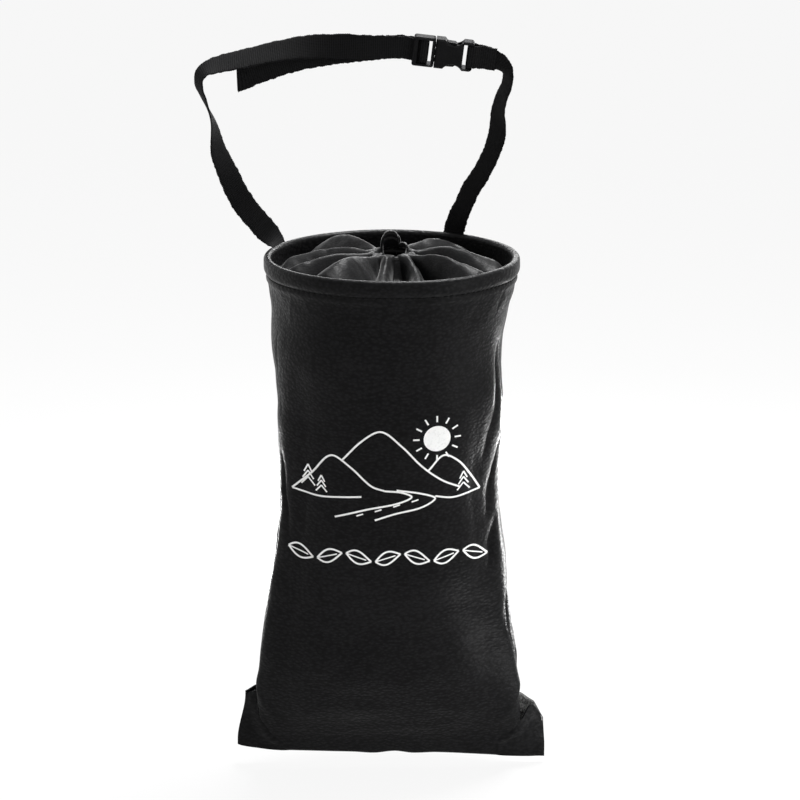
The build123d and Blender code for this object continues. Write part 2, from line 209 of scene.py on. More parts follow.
class Shape:
    """Points and faces gathered for one piece, in millimetres from the middle of the mouth."""

    def __init__(self):
        self.points = []
        self.faces = []
        self.slots = []
        self.uvs = []

    def add(self, points, faces, slot=0, uvs=None):
        first = len(self.points)
        self.points += [tuple(p) for p in points]
        self.faces += [tuple(first + i for i in face) for face in faces]
        self.slots += [slot] * len(faces)
        self.uvs += uvs or [(0.0, 0.0)] * len(points)

    def make(self, name, materials, body="bag"):
        mesh = bpy.data.meshes.new(name)
        mesh.from_pydata(
            [(x * MM, y * MM, (z - HANG_HEIGHT) * MM) for x, y, z in self.points], [], self.faces
        )
        mesh.polygons.foreach_set("material_index", self.slots)
        layer = mesh.uv_layers.new(name="weave")
        for loop in mesh.loops:
            layer.data[loop.index].uv = self.uvs[loop.vertex_index]
        mesh.shade_smooth()
        mesh.validate()
        for material in materials:
            mesh.materials.append(material)
        piece = put_in_scene(name, mesh)
        if body:
            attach(piece, body)
        return piece


def grid_faces(rows, columns, closed):
    """Quads of a grid of points listed row by row, joined round when closed."""
    faces = []
    for r in range(rows - 1):
        for c in range(columns if closed else columns - 1):
            n = (c + 1) % columns
            faces.append((r * columns + c, r * columns + n, (r + 1) * columns + n, (r + 1) * columns + c))
    return faces


def thicken(piece, thickness, offset, inside=0, rim=0):
    """Gives a sheet its thickness, with the material steps for its inside and its cut edges."""
    solid = piece.modifiers.new("thickness", "SOLIDIFY")
    solid.thickness = thickness * MM
    solid.offset = offset
    solid.use_even_offset = False
    solid.material_offset = inside
    solid.material_offset_rim = rim


# Materials
def start_material(name, color, roughness, specular):
    material = bpy.data.materials.new(name)
    material.use_nodes = True
    shader = material.node_tree.nodes["Principled BSDF"]
    shader.inputs["Base Color"].default_value = (*color, 1)
    shader.inputs["Roughness"].default_value = roughness
    shader.inputs["Specular IOR Level"].default_value = specular
    return material, material.node_tree, shader


def add_node(tree, kind, **settings):
    node = tree.nodes.new(kind)
    for name, value in settings.items():
        if name in node.inputs:
            node.inputs[name].default_value = value
        else:
            setattr(node, name, value)
    return node


def placed(tree, scale=(1, 1, 1), source="Object"):
    """Texture coordinates with a scale for each axis."""
    coordinates = add_node(tree, "ShaderNodeTexCoord")
    mapping = add_node(tree, "ShaderNodeMapping", Scale=scale)
    tree.links.new(coordinates.outputs[source], mapping.inputs["Vector"])
    return mapping.outputs["Vector"]


def noise_at(tree, vector, scale, detail=3.0, roughness=0.55):
    node = add_node(tree, "ShaderNodeTexNoise", Scale=scale, Detail=detail, Roughness=roughness)
    tree.links.new(vector, node.inputs["Vector"])
    return node.outputs["Fac"]


def ramp(tree, value, low, high, first, last):
    """Maps a value from low to high onto two colours."""
    node = add_node(tree, "ShaderNodeValToRGB")
    for stop, place, color in zip(node.color_ramp.elements, (low, high), (first, last)):
        stop.position = place
        stop.color = (*color, 1)
    tree.links.new(value, node.inputs["Fac"])
    return node.outputs["Color"]


def span(tree, value, low, high, to_low, to_high):
    ends = {"From Min": low, "From Max": high, "To Min": to_low, "To Max": to_high}
    node = add_node(tree, "ShaderNodeMapRange", **ends)
    tree.links.new(value, node.inputs["Value"])
    return node.outputs["Result"]


def combine(tree, operation, first, second):
    node = add_node(tree, "ShaderNodeMath", operation=operation)
    for socket, value in zip(node.inputs, (first, second)):
        if isinstance(value, float):
            socket.default_value = value
        else:
            tree.links.new(value, socket)
    return node.outputs["Value"]


def plus(tree, value, extra, weight):
    """Adds a weighted second value to the first."""
    return combine(tree, "ADD", value, combine(tree, "MULTIPLY", extra, weight))


def shade(color, share):
    return tuple(c * share for c in color)


def bump(tree, shader, height, distance, strength):
    node = add_node(tree, "ShaderNodeBump", Strength=strength, Distance=distance)
    tree.links.new(height, node.inputs["Height"])
    tree.links.new(node.outputs["Normal"], shader.inputs["Normal"])


def leather(name, color, grain, depth, roughness, specular, sheen=0.0):
    """Imitation leather: fine pebbles drawn out sideways, pores, uneven gloss, a cloudy uneven tone and
    painted shade darkening the crevices between pebbles.
    """
    material, tree, shader = start_material(name, color, roughness, specular)
    shader.inputs["Sheen Weight"].default_value = sheen
    shader.inputs["Sheen Roughness"].default_value = 0.3
    lie = placed(tree, (0.62, 0.62, 1.0))
    cells = add_node(tree, "ShaderNodeTexVoronoi", Scale=1 / (grain * MM), feature="SMOOTH_F1")
    cells.inputs["Smoothness"].default_value = 0.6
    warp = noise_at(tree, lie, 260.0, 2.0)
    shifted = add_node(tree, "ShaderNodeVectorMath", operation="ADD")
    spread = add_node(tree, "ShaderNodeVectorMath", operation="SCALE", Scale=0.0016)
    tree.links.new(warp, spread.inputs[0])
    tree.links.new(lie, shifted.inputs[0])
    tree.links.new(spread.outputs["Vector"], shifted.inputs[1])
    tree.links.new(shifted.outputs["Vector"], cells.inputs["Vector"])
    pebbles = span(tree, cells.outputs["Distance"], 0.0, 0.7, 1.0, 0.0)
    fine = noise_at(tree, lie, 2400.0, 2.0)
    wrinkles = noise_at(tree, placed(tree, (0.35, 0.35, 1.0)), 190.0, 4.0, 0.6)
    height = plus(tree, plus(tree, pebbles, fine, 0.25), wrinkles, 0.8)
    bump(tree, shader, height, depth * MM, 0.6)
    cloudy = noise_at(tree, placed(tree), 26.0, 5.0)
    # Cloudy uneven tone mixed with painted shade: the pebbles' crevices darker than their tops
    tone_and_crevice_shade = plus(tree, combine(tree, "MULTIPLY", pebbles, 0.5), cloudy, 0.5)
    shades = ramp(tree, tone_and_crevice_shade, 0.25, 0.75, shade(color, 0.45), shade(color, 1.6))
    gloss = span(tree, tone_and_crevice_shade, 0.25, 0.75, roughness + 0.09, roughness - 0.08)
    tree.links.new(shades, shader.inputs["Base Color"])
    tree.links.new(gloss, shader.inputs["Roughness"])
    return material


def backing_cloth():
    """Knitted backing of the leather, seen at cut edges and inside the bag."""
    material, tree, shader = start_material("backing_cloth", (0.24, 0.24, 0.235), 0.95, 0.1)
    lie = placed(tree)
    knit = add_node(tree, "ShaderNodeTexVoronoi", Scale=1100.0)
    tree.links.new(lie, knit.inputs["Vector"])
    fuzz = noise_at(tree, lie, 300.0, 6.0, 0.75)
    mixed = plus(tree, fuzz, knit.outputs["Distance"], 0.5)
    shades = ramp(tree, mixed, 0.55, 1.0, (0.02, 0.02, 0.02), (0.45, 0.45, 0.44))
    tree.links.new(shades, shader.inputs["Base Color"])
    bump(tree, shader, mixed, 0.25 * MM, 0.6)
    return material


def webbing_cloth():
    """Ribbed webbing: floats in two directions, laid out along the strap in millimetres."""
    material, tree, shader = start_material("webbing_cloth", (0.004, 0.004, 0.0042), 0.8, 0.05)
    along = placed(tree, source="UV")
    ribs = add_node(tree, "ShaderNodeTexWave", Scale=0.2417, Distortion=0.35)
    ribs.inputs["Detail Scale"].default_value = 2.0
    tree.links.new(along, ribs.inputs["Vector"])
    ends = add_node(tree, "ShaderNodeTexWave", Scale=0.33, Distortion=0.25, bands_direction="Y")
    tree.links.new(along, ends.inputs["Vector"])
    yarn = noise_at(tree, placed(tree, (0.9, 7.0, 1.0), "UV"), 1.6, 3.0)
    height = plus(tree, ribs.outputs["Fac"], ends.outputs["Fac"], 0.7)
    height = plus(tree, height, yarn, 0.8)
    bump(tree, shader, height, 0.12 * MM, 0.7)
    shades = ramp(tree, height, 0.7, 1.0, (0.0008, 0.0008, 0.0009), (0.009, 0.009, 0.0094))
    tree.links.new(shades, shader.inputs["Base Color"])
    tree.links.new(span(tree, yarn, 0.3, 0.7, 0.88, 0.68), shader.inputs["Roughness"])
    return material


def moulded_plastic(name, color, roughness):
    """Moulded plastic with a faint spark texture and handling marks."""
    material, tree, shader = start_material(name, color, roughness, 0.05)
    lie = placed(tree)
    spark = noise_at(tree, lie, 1400.0, 2.0)
    smears = noise_at(tree, lie, 210.0, 4.0)
    bump(tree, shader, spark, 0.012 * MM, 0.4)
    shades = ramp(tree, smears, 0.3, 0.75, shade(color, 0.85), shade(color, 1.25))
    gloss = span(tree, smears, 0.3, 0.7, roughness - 0.07, roughness + 0.1)
    tree.links.new(shades, shader.inputs["Base Color"])
    tree.links.new(gloss, shader.inputs["Roughness"])
    return material


def twisted_thread(name, color):
    """Thread or braid with fine strands."""
    material, tree, shader = start_material(name, color, 0.7, 0.12)
    strands = noise_at(tree, placed(tree, (1, 1, 2.5)), 2600.0, 2.0)
    bump(tree, shader, strands, 0.08 * MM, 0.6)
    shades = ramp(tree, strands, 0.3, 0.7, shade(color, 0.6), shade(color, 1.5))
    tree.links.new(shades, shader.inputs["Base Color"])
    return material


def print_ink():
    """White ink printed on the grain, a little uneven in cover."""
    material, tree, shader = start_material("print_ink", (0.86, 0.86, 0.85), 0.55, 0.25)
    cover = noise_at(tree, placed(tree), 700.0, 4.0)
    shades = ramp(tree, cover, 0.25, 0.5, (0.74, 0.74, 0.73), (0.88, 0.88, 0.87))
    tree.links.new(shades, shader.inputs["Base Color"])
    bump(tree, shader, cover, 0.06 * MM, 0.4)
    return material


LEATHER_LOOK = leather("bag_leather", (0.006, 0.006, 0.0064), 1.6, 0.3, 0.34, 0.07)
COLLAR_LOOK = leather("collar_leather", (0.006, 0.006, 0.0064), 0.9, 0.09, 0.36, 0.08, 0.2)
# Pale grey for the paler core at the collar's cut edges, and a painted highlight on its rolled lip
CUT_EDGE_AND_PAINTED_HIGHLIGHT = leather("cut_edge_and_painted_highlight", (0.16, 0.16, 0.16), 0.9, 0.06, 0.6, 0.1)
BACKING = backing_cloth()
WEBBING_LOOK = webbing_cloth()
PLASTIC = moulded_plastic("buckle_plastic", (0.006, 0.006, 0.0064), 0.42)
HOOP_LOOK = moulded_plastic("hoop_plastic", (0.05, 0.05, 0.05), 0.5)
THREAD = twisted_thread("sewing_thread", (0.006, 0.006, 0.006))
ELASTIC_LOOK = twisted_thread("elastic_braid", (0.008, 0.008, 0.008))
INK = print_ink()


# Bag wall with its folded hem, and the turns in degrees where the fold and the flat of a flank end
WALL_KEYS = [row[0] for row in WALL_ROWS]
FOLD_FULL = 6.0
FOLD_END = 21
FLAT_START = 20
FLAT_END = 46


def shaped(share, squareness):
    """Sine or cosine drawn out to a squarer outline."""
    return copysign(abs(share) ** (2 / squareness), share)


def bottom_line(x):
    """How far the bottom edge lies under its middle, from the left corner to the right one."""
    return smooth_line(BOTTOM_EDGE, min(BOTTOM_EDGE[-1][0], max(BOTTOM_EDGE[0][0], x)))


def wall_point(row, turn, inset=0.0):
    """Place on the wall at one height and turn, with the fold that runs down each flank."""
    drop, half_width, half_depth, squareness, fold, lean = row
    across = shaped(cos(turn), squareness)
    away = degrees(asin(min(1.0, abs(sin(turn)))))
    widen = min(1.0, max(0.0, fold) / FOLD_FULL) * (1 - ease(FLAT_START, FLAT_END, away))
    across += (copysign(1.0, across) - across) * widen
    x = across * (half_width - inset)
    x -= copysign(max(0.0, fold) * (1 - ease(0, FOLD_END, away)), across)
    y = shaped(sin(turn), squareness) * max(0.1, half_depth - inset)
    return x + lean, y, -drop - bottom_line(x + lean) * (drop / BOTTOM_DROP) ** 6


def wall_depth(x, drop):
    """Half depth of the wall at a given distance from the middle."""
    row = smooth_row(WALL_KEYS, WALL_ROWS, drop)
    share = min(1.0, abs(x - row[5]) / row[1])
    return row[2] * (1 - share ** row[3]) ** (1 / row[3])


def crease(turns, drops, knots, height, width):
    """Height of one crease along a broken line, sharp in its middle and fading to its ends."""
    arc = WALL_RADIUS * pi / 180
    nearest = np.full_like(turns, 1e9)
    place = np.zeros_like(turns)
    runs = [((b[0] - a[0]) * arc, b[1] - a[1]) for a, b in zip(knots, knots[1:])]
    total = sum(hypot(*run) for run in runs)
    passed = 0.0
    for start, (run_x, run_y) in zip(knots, runs):
        length = hypot(run_x, run_y)
        dx = ((turns - start[0] + 180) % 360 - 180) * arc
        dy = drops - start[1]
        share = np.clip((dx * run_x + dy * run_y) / length**2, 0, 1)
        distance = np.hypot(dx - share * run_x, dy - share * run_y)
        closer = distance < nearest
        nearest = np.where(closer, distance, nearest)
        place = np.where(closer, (passed + share * length) / total, place)
        passed += length
    fade = np.sin(pi * np.clip(place, 0, 1)) ** 0.6
    return height * fade * np.exp(-nearest / width)


def fold_field(turns, drops):
    """Height of the creases over the wall: drawn ones, puckers under the hem and flank streaks."""
    dice = random.Random(11)
    lines = []
    for knots, height, width in FOLDS:
        lines.append((knots, height, width))
        swing = dice.uniform(-7, 7)
        sink = dice.uniform(-14, 14)
        back = [(360 - turn + swing, min(302, drop + sink)) for turn, drop in knots]
        lines.append((back, height * dice.uniform(0.6, 1.0), width * 1.2))
    for i in range(HEM_PUCKERS):
        turn = dice.uniform(0, 360)
        slant = dice.uniform(-5, 5)
        reach = dice.uniform(6, 22)
        flank = 0.55 + 0.45 * abs(cos(radians(turn)))
        height = dice.choice((-1, 1)) * dice.uniform(0.25, 0.6) * flank
        lines.append(([(turn, 11.5), (turn + slant, 13 + reach)], height, dice.uniform(0.9, 1.7)))
    for i in range(FLANK_STREAKS):
        turn = dice.choice((0, 180)) + dice.uniform(-34, 34)
        drop = dice.uniform(30, 250)
        end = (turn + dice.uniform(-5, 5), drop + dice.uniform(8, 26))
        lines.append(([(turn, drop), end], dice.uniform(-0.34, -0.12), dice.uniform(0.8, 1.5)))
    bent = turns + 0.7 * np.sin(drops * 0.09) + 0.4 * np.sin(drops * 0.23 + 1.3)
    return sum(crease(bent, drops, *line) for line in lines)


def hem_profile():
    """Section of the hem from the inner cut edge over the roll to the stitch line and the wall."""
    middle = MOUTH_RADIUS - HEM_ROLL
    points = [(HEM_INNER, z) for z in (-15.0, -11.5, -8.0, -5.0)]
    for i in range(11):
        turn = pi * (1 - i / 10)
        points.append((middle + HEM_ROLL * cos(turn), HEM_ROLL * (sin(turn) - 1)))
    return points + HEM_OUTSIDE


def hem_swell(way, z):
    """Uneven reach of the hem in one direction."""
    return noise.noise(way * 2.6 + Vector((0, 0, z * 0.05))) * 0.55


def hem_wave(way, z):
    """Rise and fall of the rim in one direction, fading out down the hem."""
    return 0.5 * noise.noise(way * 1.7 + Vector((3, 1, 7))) * ease(-15, -5, z)


def hem_points(turns):
    points = []
    for r, (radius, z) in enumerate(hem_profile()):
        outside = ease(4, 16, r)
        for turn in turns:
            way = Vector((cos(turn), sin(turn), 0))
            reach = radius + hem_swell(way, z) * outside
            if abs(z + STITCH_DROP) < 1.2 and r > 12:
                reach += 0.3 * (1 - cos(turn * HEM_STITCHES)) * 0.5
            points.append((reach * way.x, reach * way.y, z + hem_wave(way, z)))
    return points


def wall_points(turns):
    """Rows of the wall from the hem to the closed bottom edge."""
    points = []
    count = ceil((WALL_END - WALL_TOP) / WALL_STEP)
    for level in even_steps(WALL_TOP, WALL_END, count) + END_LEVELS:
        row = smooth_row(WALL_KEYS, WALL_ROWS, level)
        points += [wall_point(row, turn) for turn in turns]
    for share, extra in BOTTOM_CLOSE:
        for x, y, z in points[-WALL_COLUMNS:]:
            points.append((x, y * share, z - extra))
    return points


def creased(place, turns, hem_rows):
    """Grid of points moved in and out below the hem by creases, soft dents and the back seam."""
    total = len(place)
    round_way = np.roll(place, -1, axis=1) - np.roll(place, 1, axis=1)
    down_way = np.gradient(place, axis=0)
    outward = np.cross(down_way, round_way)
    size = np.linalg.norm(outward, axis=2, keepdims=True)
    outward = outward / np.maximum(size, 1e-9)

    drops = -place[:, :, 2]
    angles = np.degrees(np.array([turns] * total))
    field = fold_field(angles, drops)
    for r in range(total):
        for c in range(WALL_COLUMNS):
            p = Vector(place[r, c])
            soft = noise.noise(p * 0.019 + Vector((4, 9, 2))) * 1.7
            fine = noise.noise(Vector((p.x * 0.05, p.y * 0.05, p.z * 0.075))) * 0.5
            field[r, c] += soft + fine
    fade_in = np.clip((drops - 11.5) / 10.0, 0, 1)
    fade_out = np.clip((BOTTOM_DROP - drops - 1.0) / 26.0, 0, 1)
    below_hem = (np.arange(total) >= hem_rows - 3)[:, None]
    field[:, SEAM_COLUMN] -= SEAM_DEPTH
    field = field * fade_in * fade_out * below_hem
    return place + outward * field[:, :, None]


def add_lining(shape):
    points = []
    for level in even_steps(LINING_TOP, LINING_END, LINING_STEPS):
        row = smooth_row(WALL_KEYS, WALL_ROWS, level)
        inset = LEATHER + LINING_GAP + LINING_DEEP * ease(18, 46, level)
        points += [wall_point(row, turn, inset) for turn in round_turns(LINING_COLUMNS)]
    shape.add(points, grid_faces(LINING_STEPS + 1, LINING_COLUMNS, True), 1)


def make_bag():
    turns = round_turns(WALL_COLUMNS)
    hem = hem_points(turns)
    place = np.array(hem + wall_points(turns)).reshape(-1, WALL_COLUMNS, 3)
    place = creased(place, turns, len(hem) // WALL_COLUMNS)
    faces = grid_faces(len(place), WALL_COLUMNS, True)
    shape = Shape()
    shape.add(place.reshape(-1, 3), [face[::-1] for face in faces])
    add_lining(shape)
    bag = shape.make("bag_shell", [LEATHER_LOOK, BACKING])
    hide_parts("bag_body")
    return bag


bag_shell = make_bag()
skin = BVHTree.FromObject(bag_shell, bpy.context.evaluated_depsgraph_get())


def on_skin(x, z, side, lift):
    """Place on the bag's front (side -1) or back (side 1) straight behind a flat drawing's point."""
    start = Vector((x * MM, 0.3 * side, (z - HANG_HEIGHT) * MM))
    hit = skin.ray_cast(start, Vector((0, -side, 0)))[0]
    hit = hit + Vector((0, side, 0)) * lift * MM
    return hit.x / MM, hit.y / MM, hit.z / MM + HANG_HEIGHT


# Square tabs at the two ends of the bottom seam, each of two layers with an upper edge cut along a line
TAB_ROOT = 58.0
TAB_REACH = 84.0
TAB_HALF = 0.75
TAB_SINK = 2.4
TAB_MIDDLE = 300.0
TAB_LOWEST = 319.0
RIGHT_CUT = [(58, -283.0), (81.6, -284.5), (86.3, -287.0), (89.7, -288.4), (95.8, -299.0)]
RIGHT_FRONT_CUT = [
    (58, -297.0), (79, -299.0), (82.5, -296.5), (85.5, -290.0), (87.5, -288.0),
    (89.7, -288.9), (95.8, -299.6),
]
LEFT_CUT = [(58, -279.0), (86.1, -279.4), (88.8, -277.6), (93.5, -279.6), (98, -281.0)]
LEFT_FRONT_CUT = [(58, -279.6), (86.1, -280.4), (88.8, -278.6), (93.5, -281.0), (98, -283.0)]

# Outer edge of each tab: distance from the middle, how much further out it ends, and between which drops
LEFT_EDGE = (92.4, 5.2, 282, 313)
RIGHT_EDGE = (95.4, 1.0, 298, 318)

# Soft folds where the bulge runs into a tab: line of (drop, distance from the middle), depth, width
LEFT_FOLDS = [
    ([(274, 85.0), (289, 77.0), (298, 75.0), (311, 74.0)], 1.5, 2.4),
    ([(281, 90.0), (294, 84.0), (306, 80.0), (316, 72.0)], -2.0, 4.5),
]
RIGHT_FOLDS = [
    ([(280, 80.0), (290, 77.0), (300, 75.0), (310, 72.0)], 1.5, 2.4),
    ([(297, 88.0), (304, 80.0), (311, 70.0), (317, 62.0)], -2.0, 5.0),
]


def on_line(knots, x):
    """Value at x on the broken line through the knots."""
    return float(np.interp(x, [k[0] for k in knots], [k[1] for k in knots]))


def tab_depth(x, drop, edge):
    """Depth where the leather leaves the bulge of the wall and runs straight to the edge."""
    tries = even_steps(TAB_ROOT, TAB_REACH, 40)
    slopes = [(wall_depth(t, drop) - TAB_HALF) / (edge - t) for t in tries]
    steepest = max(slopes)
    leaves = tries[slopes.index(steepest)]
    if x >= leaves:
        return TAB_HALF + steepest * (edge - x)
    return wall_depth(x, drop) - TAB_SINK * (1 - ease(TAB_ROOT, leaves, x))


def tab_fold(folds, x, drop):
    """How far the soft folds push a tab's leather inward at one place."""
    push = 0.0
    for knots, depth, width in folds:
        first, last = knots[0][0], knots[-1][0]
        share = min(1.0, max(0.0, (drop - first) / (last - first)))
        push += depth * sin(pi * share) ** 0.6 * bell(x - on_line(knots, drop), width)
    return push


def tab_edge(side, drop):
    near, flare, first, last = LEFT_EDGE if side < 0 else RIGHT_EDGE
    return near + flare * ease(first, last, drop)


def tab_layer(side, front, cut):
    """One layer of a tab, leaving the wall's side and lying flat out to the cut edge."""
    folds = LEFT_FOLDS if side < 0 else RIGHT_FOLDS
    rows, columns = 34, 44
    points = []
    for r in range(rows):
        down = r / (rows - 1)
        for c in range(columns):
            out = c / (columns - 1)
            x = TAB_ROOT + (tab_edge(side, TAB_MIDDLE) - TAB_ROOT) * out
            top = on_line(cut, x)
            low = -BOTTOM_DROP - bottom_line(side * x) - SEAM_DROP
            z = top + (low - top) * down
            edge = tab_edge(side, -z)
            x = TAB_ROOT + (edge - TAB_ROOT) * out
            drop = min(TAB_LOWEST, -z - bottom_line(side * x))
            depth = tab_depth(x, drop, edge) - tab_fold(folds, x, -z)
            free = ease(0.6, 1.0, out)
            curl = 1.1 * noise.noise(Vector((side * x * 0.06, z * 0.07, 9.1))) * free
            curl += 0.9 * bell(z - top, 4.0) * free * (1 if front else -1)
            curl += 0.35 * noise.noise(Vector((x * 0.3, z * 0.3, 4.0 * front))) * free
            points.append((side * x, (-depth if front else depth) + curl, z))
    faces = grid_faces(rows, columns, False)
    if (side > 0) == front:
        faces = [face[::-1] for face in faces]
    return points, faces


def make_tabs():
    layers = [
        ("tab_left_front", -1, True, LEFT_FRONT_CUT),
        ("tab_left_back", -1, False, LEFT_CUT),
        ("tab_right_front", 1, True, RIGHT_FRONT_CUT),
        ("tab_right_back", 1, False, RIGHT_CUT),
    ]
    for name, side, front, cut in layers:
        shape = Shape()
        shape.add(*tab_layer(side, front, cut))
        layer = shape.make(name, [LEATHER_LOOK, BACKING])
        thicken(layer, 1.0, -1.0, inside=1 if name == "tab_right_back" else 0)


make_tabs()


# Stitches: short raised threads along a line of points with the surface's direction
def stitch_row(shape, line, ups, dash, gap, radius, slot=0):
    keys = path_keys(line)

    def along(distance):
        i = max(0, min(len(keys) - 2, int(np.searchsorted(keys, distance)) - 1))
        t = (distance - keys[i]) / max(1e-9, keys[i + 1] - keys[i])
        place = Vector(line[i]).lerp(Vector(line[i + 1]), t)
        return place, Vector(ups[i]).lerp(Vector(ups[i + 1]), t).normalized()

    rings, sides = 7, 7
    for k in range(int((keys[-1] + gap) / (dash + gap))):
        start = k * (dash + gap)
        points = []
        for r in range(rings):
            t = r / (rings - 1)
            here = start + dash * t
            place, up = along(here)
            ahead = along(min(keys[-1], here + 0.05))[0] - along(max(0.0, here - 0.05))[0]
            aside = ahead.normalized().cross(up)
            swell = sin(pi * t)
            thick = radius * (0.45 + 0.55 * swell**0.5)
            middle = place + up * radius * (1.1 * swell - 0.5)
            for a in round_turns(sides):
                points.append(middle + aside * thick * cos(a) + up * thick * sin(a))
        shape.add(points, grid_faces(rings, sides, True), slot)


def make_hem_stitches():
    shape = Shape()
    steps = HEM_STITCHES * 4
    line = []
    ups = []
    for i in range(steps + 1):
        turn = tau * i / steps
        way = Vector((cos(turn), sin(turn), 0))
        reach = STITCH_RADIUS + hem_swell(way, -STITCH_DROP)
        line.append((reach * way.x, reach * way.y, STITCH_HEIGHT + hem_wave(way, STITCH_HEIGHT)))
        ups.append(way)
    pitch = tau * STITCH_RADIUS / HEM_STITCHES
    stitch_row(shape, line, ups, pitch * 0.74, pitch * 0.26, THREAD_RADIUS)
    shape.make("hem_stitches", [THREAD])


def make_seam_stitches():
    shape = Shape()
    for x in (-SEAM_STITCHES, SEAM_STITCHES):
        line = [on_skin(x, SEAM_TOP - i, 1, 0.0) for i in range(SEAM_LENGTH)]
        stitch_row(shape, line, [(0, 1, 0)] * len(line), SEAM_DASH, SEAM_GAP, THREAD_RADIUS)
    shape.make("seam_stitches", [THREAD])


make_hem_stitches()
make_seam_stitches()

# Gathered closure. Each fold: turn at the rim and at the neck in degrees, height of its shoulder,
# height and place of its peak, half width at the rim, in the middle and at the neck, sideways lean
GATHERS = [
    (12, 24, -6.0, 3.4, 0.62, 22, 13, 3.9, -4.0),
    (46, 54, -5.0, 2.6, 0.45, 18, 11, 3.9, 4.0),
    (90, 93, -9.0, -3.0, 0.6, 19, 9, 9.0, 0.0),
    (134, 132, -3.0, 5.0, 0.42, 21, 14, 3.9, -4.0),
    (168, 164, -5.0, 2.4, 0.68, 17, 9, 3.9, -4.0),
    (199, 198, -3.5, 2.8, 0.52, 17, 10, 3.9, 3.0),
    (231, 230, -1.5, 5.6, 0.46, 23, 16, 3.9, 2.0),
    (264, 259, -11.0, -2.6, 0.8, 7, 5.2, 4.4, 0.0),
    (286, 306, -11.0, -2.6, 0.8, 7, 5.2, 4.4, 0.0),
    (327, 335, -2.5, 3.8, 0.64, 21, 12, 3.9, -4.0),
]
SEAT = 71.95
NECK_RADIUS = 12.2
LIP_RADIUS = 0.6
LIP_ROWS = 6

# Lobe and shelf that stand up at the back of the neck: turn and half reach in degrees, height
LOBE = (94, 31, 10.6)
SHELF = (45, 21, 4.0)

# Height of the leather between the folds, from the rim at 0 to the neck at 1
VALLEY = [
    (0, -14.5), (0.1, -15.2), (0.3, -16.4), (0.55, -15.4), (0.78, -14.4),
    (0.9, -11.5), (0.94, -6.0), (0.965, 0.5), (1, 1.1),
]


def fold_profile(share, shoulder, peak, place):
    """Height of a fold's crest from the rim, at share 0, to the neck, at share 1."""
    rise = [(0.0, -14.5), (0.05, -10.5), (0.14, shoulder), (place, peak), (0.92, 1.6), (1.0, 2.4)]
    return smooth_line(rise, share)


def folds_in_row(share):
    """Turn, half width, height and lean of every fold at one distance from the rim."""
    row = []
    for rim, neck, shoulder, peak, place, wide, middle, narrow, side in GATHERS:
        width = wide + (middle - wide) * min(1.0, share / 0.5)
        width += (narrow - width) * ease(0.5, 1.0, share)
        turn = rim + (neck - rim) * ease(0.2, 1.0, share)
        row.append((turn, width, fold_profile(share, shoulder, peak, place), side))
    return row


def gather_at(turn, radius, floor, row):
    """Height of the gathers at one place, and the lean there in millimetres."""
    best, lean = floor, 0.0
    for centre, width, crest, side in row:
        u = abs(radians((turn - centre + 180) % 360 - 180)) * radius / width
        if u < 1:
            tent = 1 - (hypot(u, 0.16) - 0.16) / (hypot(1, 0.16) - 0.16)
            sharp = 0.6 * ease(5.0, 10.0, width)
            body = sharp * tent + (1 - sharp) * sqrt(1 - u * u)
            height = floor + (crest - floor) * body
            if height > best:
                best, lean = height, side * body
    return best, lean


def rounded(turn, centre, reach):
    """Outline of a standing lobe: 1 at its middle, 0 at its two ends."""
    u = abs((turn - centre + 180) % 360 - 180) / reach
    return max(0.0, 1 - u**2.8) ** (1 / 2.8)


def make_collar():
    columns, rows, top_rows = 528, 54, 18
    points = []
    for r in range(rows):
        share = (r / (rows - 1)) ** 0.92
        middle = sin(pi * share) ** 0.8
        radius = SEAT + (NECK_RADIUS - SEAT) * share
        floor = smooth_line(VALLEY, share)
        row = folds_in_row(share)
        for c in range(columns):
            turn = 360 * c / columns
            z, lean = gather_at(turn, radius, floor, row)
            swing = radians(turn) + lean * middle / radius
            spot = Vector((cos(swing), sin(swing), 0)) * radius
            z += 1.2 * middle * noise.noise(spot * 0.08 + Vector((1, 5, 8)))
            z += 0.45 * middle * noise.noise(spot * 0.24 + Vector((6, 2, 3)))
            pull = ease(0.35, 0.9, share) * (1 - ease(0.95, 1.0, share))
            z += 0.5 * pull * noise.noise(Vector((cos(swing) * 7, sin(swing) * 7, share * 1.5)))
            points.append((spot.x, spot.y, z))
    edge = points[-columns:]
    for r in range(1, top_rows + 1):
        share = r / top_rows
        for c in range(columns):
            turn = 360 * c / columns
            start = edge[c][2]
            arch = rounded(turn, LOBE[0], LOBE[1])
            shelf = rounded(turn, SHELF[0], SHELF[1])
            stands = max(ease(0.0, 0.3, arch), ease(0.0, 0.3, shelf))
            top = 1.5 + LOBE[2] * arch + SHELF[2] * shelf
            ribs = 0.18 * sin(share * 21.0) * arch
            upright = start + (top - start) * share
            inward = start - 3.4 * (1 - cos(pi / 2 * share))
            z = inward + (upright - inward) * stands
            narrow = 2.6 * sin(pi / 2 * share)
            reach = NECK_RADIUS - narrow + (narrow - 1.6 * ease(0, 0.5, share)) * stands + ribs
            reach += 0.35 * ease(0.88, 1.0, share) * stands
            points.append((reach * cos(radians(turn)), reach * sin(radians(turn)), z))
    edge = points[-columns:]
    for r in range(1, LIP_ROWS + 1):
        a = pi * r / LIP_ROWS
        for x, y, z in edge:
            shrink = 1 - LIP_RADIUS * (1 - cos(a)) / hypot(x, y)
            points.append((x * shrink, y * shrink, z + LIP_RADIUS * sin(a)))
    shape = Shape()
    shape.add(points, grid_faces(rows + top_rows + LIP_ROWS, columns, True))
    # The rolled lip takes the pale grey, a painted highlight outlining the standing lobe and the neck
    # hole
    shape.slots[-LIP_ROWS * columns :] = [1] * (LIP_ROWS * columns)
    collar = shape.make("gathered_collar", [COLLAR_LOOK, CUT_EDGE_AND_PAINTED_HIGHLIGHT])
    thicken(collar, 0.8, -1.0, rim=1)
    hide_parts("closure_collar")


make_collar()


# Elastic cord round the neck, pressed into the gathers
ELASTIC_RING = 13.55
ELASTIC_RADIUS = 1.15
ELASTIC_HEIGHT = -0.8


